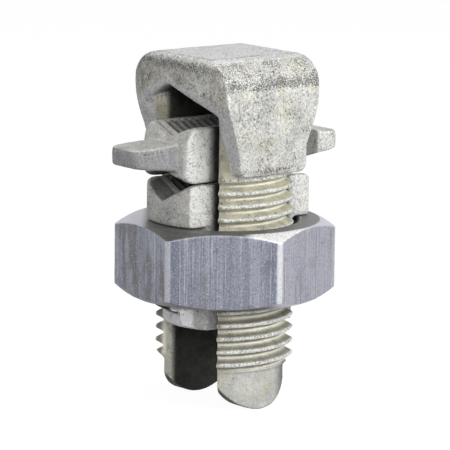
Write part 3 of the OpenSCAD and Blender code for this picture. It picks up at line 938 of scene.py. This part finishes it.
def spacer_wear(x, y, z, nx, ny, nz):
    """The outside of the block and the wings, and not the toothed grooves."""
    across = fall(np.abs(x), SPACER_GROOVE_HALF + 0.1, SPACER_GROOVE_HALF + 0.7)
    return 1 - across * fall(np.abs(y), GROOVE_END - 0.1, GROOVE_END + 0.5)


spacer = merged_copy("spacer_bar", "spacer_bar_cast")
recast(spacer, grid=0.12 * MM, smooth=3, finish=bar_metal, share=0.7, rounded=spacer_wear,
       lump_height=0.12 * MM, lump_size=2.4 * MM, grain_height=0.06 * MM, grain_size=0.6 * MM,
       reach=7, rounding=36)


def spacer_grime(x, y, z, nx, ny, nz):
    """Painted shade with some grime in the grooves, blackest between their teeth, painted shade under the
    block, on the sides in the slot and on the near wing, and shade with grime at the far wing's root and the
    grooves' ends.
    """
    across, along = np.abs(x), np.abs(y)
    in_upper = step(z, UPPER_GROOVE, UPPER_GROOVE + 0.3)
    # Painted shade under the block and on its sides in the slot.
    under = 0.9 * fall(across, SPACER_GROOVE_HALF, SPACER_GROOVE_HALF + 0.6) * step(-nz, 0.4, 0.7)
    under = under * fall(z, LOWER_GROOVE, LOWER_GROOVE + 0.5)
    sides = 0.985 * step(across, BAR_HALF - 0.75, BAR_HALF - 0.35) * fall(along, 6.6, 8.7)
    # Painted shade with some grime between the upper teeth.
    over = fall(across, SPACER_GROOVE_HALF, SPACER_GROOVE_HALF + 0.3) * in_upper
    over = over * fall(along, NOTCH_END, NOTCH_END + 0.2) * (0.4 + 0.5 * notches(y))
    # Painted shade on the near wing, and shade with grime at the far wing's root.
    near_wing = 0.35 * step(-y, WING_ROOT, WING_ROOT + 0.6) * fall(nz, 0.3, 0.7)
    far_wing = 0.7 * step(y, WING_ROOT, WING_ROOT + 0.6) * fall(y, WING_ROOT + 2.9, WING_ROOT + 3.4)
    crease = 0.5 * hump(along, GROOVE_END + 0.35, 0.16) * in_upper
    crease = crease * fall(across, SPACER_GROOVE_HALF + 0.1, SPACER_GROOVE_HALF + 0.6)
    return most(under, sides, over, near_wing + far_wing, crease)


def spacer_rubbing(x, y, z, nx, ny, nz):
    """Painted highlight on the block's sides and on the far wing, and the plain strips at the ends of the
    upper teeth, worn bright and painted lighter.
    """
    along = np.abs(y)
    strip = 0.5 * step(along, NOTCH_END + 0.1, NOTCH_END + 0.3) * fall(along, GROOVE_END, GROOVE_END + 0.3)
    strip = strip * step(nz, 0.5, 0.8) * step(z, UPPER_GROOVE, UPPER_GROOVE + 0.5)
    strip = strip * fall(np.abs(x), SPACER_GROOVE_HALF + 0.2, SPACER_GROOVE_HALF + 0.6)
    # Painted light on the far wing, which faces the key lamp.
    wing = 0.6 * step(y, WING_ROOT + 0.4, WING_ROOT + 1.0) * fall(nz, 0.5, 0.8)
    return most(corner_rubbing(x, y, z, nx, ny, nz), strip, wing)


def spacer_cool(x, y, z, nx, ny, nz):
    """Lilac-grey on the sides and the underside of the near wing, darker than the plating as painted shade.
    """
    return 0.5 * step(np.abs(y), WING_ROOT, WING_ROOT + 0.6) * fall(nz, 0.3, 0.7) * fall(y, -1.0, 1.0)


def spacer_dullness(x, y, z, nx, ny, nz):
    """Grey skin on the block's ends and the flanks of the upper groove, and on the wings, the near wing
    painted greyer as shade.
    """
    # Painted shade: the near wing greyer than the far one.
    wings = 0.5 * step(np.abs(y), WING_ROOT, WING_ROOT + 0.6) * (1 - 0.8 * step(y, -1.0, 1.0))
    ends = 0.4 * step(np.abs(ny), 0.55, 0.8)
    flanks = 0.3 * step(nz, 0.6, 0.9) * step(z, UPPER_GROOVE, UPPER_GROOVE + 0.6)
    return most(wings, ends, flanks * fall(np.abs(y), NOTCH_END - 0.1, NOTCH_END + 0.3))


paint(spacer, turned=never, root=never, grime=spacer_grime, specks=bar_specks, dull=spacer_dullness,
      rubbed=spacer_rubbing, torn=never, cool=spacer_cool, smooth=never)
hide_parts("spacer_bar")
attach(spacer, "spacer")

# The stage is a plain pale floor that runs out to white, as in a small light tent. A broad lamp stands at the
# right, weaker ones in front and overhead, and a faint fill at the left.
FLOOR_HALF = 3000
AIM_HEIGHT = 28.4
AIM = Vector((0, 0, AIM_HEIGHT * MM))


def tent_white(tree, plain, bright):
    """One shader for light that falls on the object, and another for what the camera and the metal see."""
    path = place(tree, "ShaderNodeLightPath").outputs
    seen = reckon(tree, "MAXIMUM", path["Is Camera Ray"], path["Is Glossy Ray"])
    seen = reckon(tree, "MAXIMUM", seen, path["Is Transmission Ray"])
    return place(tree, "ShaderNodeMixShader", {0: seen, 1: plain, 2: bright}).outputs[0]


floor_mesh = bpy.data.meshes.new("floor")
floor_edge = FLOOR_HALF * MM
floor_corners = [(x * floor_edge, y * floor_edge, 0) for x, y in ((-1, -1), (1, -1), (1, 1), (-1, 1))]
floor_mesh.from_pydata(floor_corners, [], [(0, 1, 2, 3)])
floor = bpy.data.objects.new("floor", floor_mesh)
bpy.context.scene.collection.objects.link(floor)
floor_paper = bpy.data.materials.new("floor_paper")
floor_paper.use_nodes = True
paper = floor_paper.node_tree
paper.nodes.clear()
matt = place(paper, "ShaderNodeBsdfDiffuse", {"Color": (0.55, 0.55, 0.55, 1.0)}).outputs[0]
shaded = place(paper, "ShaderNodeBsdfDiffuse", {"Color": (0.1, 0.1, 0.1, 1.0)}).outputs[0]
glow = place(paper, "ShaderNodeEmission", {"Strength": 0.95}).outputs[0]
lit = place(paper, "ShaderNodeAddShader", {0: shaded, 1: glow}).outputs[0]
place(paper, "ShaderNodeOutputMaterial", {"Surface": tent_white(paper, matt, lit)})
floor_mesh.materials.append(floor_paper)

tent = bpy.data.worlds.new("light_tent")
tent.use_nodes = True
bpy.context.scene.world = tent
sky = tent.node_tree
sky.nodes.clear()
dim = place(sky, "ShaderNodeBackground", {"Color": (1.0, 1.0, 1.0, 1.0), "Strength": 0.22}).outputs[0]
white = place(sky, "ShaderNodeBackground", {"Color": (1.0, 1.0, 1.0, 1.0), "Strength": 1.0}).outputs[0]
place(sky, "ShaderNodeOutputWorld", {"Surface": tent_white(sky, dim, white)})


def seen_from(azimuth, elevation):
    """Direction to a place at an azimuth, 0 from -Y and 90 from +X, and an elevation, in degrees."""
    turn, lift = math.radians(azimuth), math.radians(elevation)
    return Vector((math.sin(turn) * math.cos(lift), -math.cos(turn) * math.cos(lift), math.sin(lift)))


# Each lamp has its azimuth and elevation in degrees, its distance and width in metres, and its watts.
for name, azimuth, elevation, distance, width, power in (
        ("key_lamp", 112, 26, 0.6, 0.3, 2.5), ("front_lamp", 50, 22, 0.6, 0.3, 1.3),
        ("top_lamp", 30, 78, 0.6, 0.4, 1.5), ("fill_lamp", -40, 15, 0.8, 0.5, 0.4)):
    lamp = bpy.data.lights.new(name, "AREA")
    lamp.size = width
    lamp.energy = power
    stand = bpy.data.objects.new(name, lamp)
    away = seen_from(azimuth, elevation)
    stand.location = AIM + distance * away
    stand.rotation_euler = away.to_track_quat("Z", "Y").to_euler()
    bpy.context.scene.collection.objects.link(stand)

# The camera stands where the photograph was taken from, far off with a long lens, so that upright edges
# stay nearly parallel. It leans a little to one side.
CAMERA_AZIMUTH = 51.9
CAMERA_ELEVATION = 10.3
CAMERA_DISTANCE = 527
CAMERA_LEAN = 0.7

view = bpy.data.cameras.new("camera")
view.lens = 262.7
view.sensor_width = 36
camera = bpy.data.objects.new("camera", view)
back = seen_from(CAMERA_AZIMUTH, CAMERA_ELEVATION)
lean = Matrix.Rotation(math.radians(CAMERA_LEAN), 3, "Z")
camera.location = AIM + CAMERA_DISTANCE * MM * back
camera.rotation_euler = (back.to_track_quat("Z", "Y").to_matrix() @ lean).to_euler()
bpy.context.scene.collection.objects.link(camera)
bpy.context.scene.camera = camera
bpy.context.scene.view_settings.view_transform = "Standard"
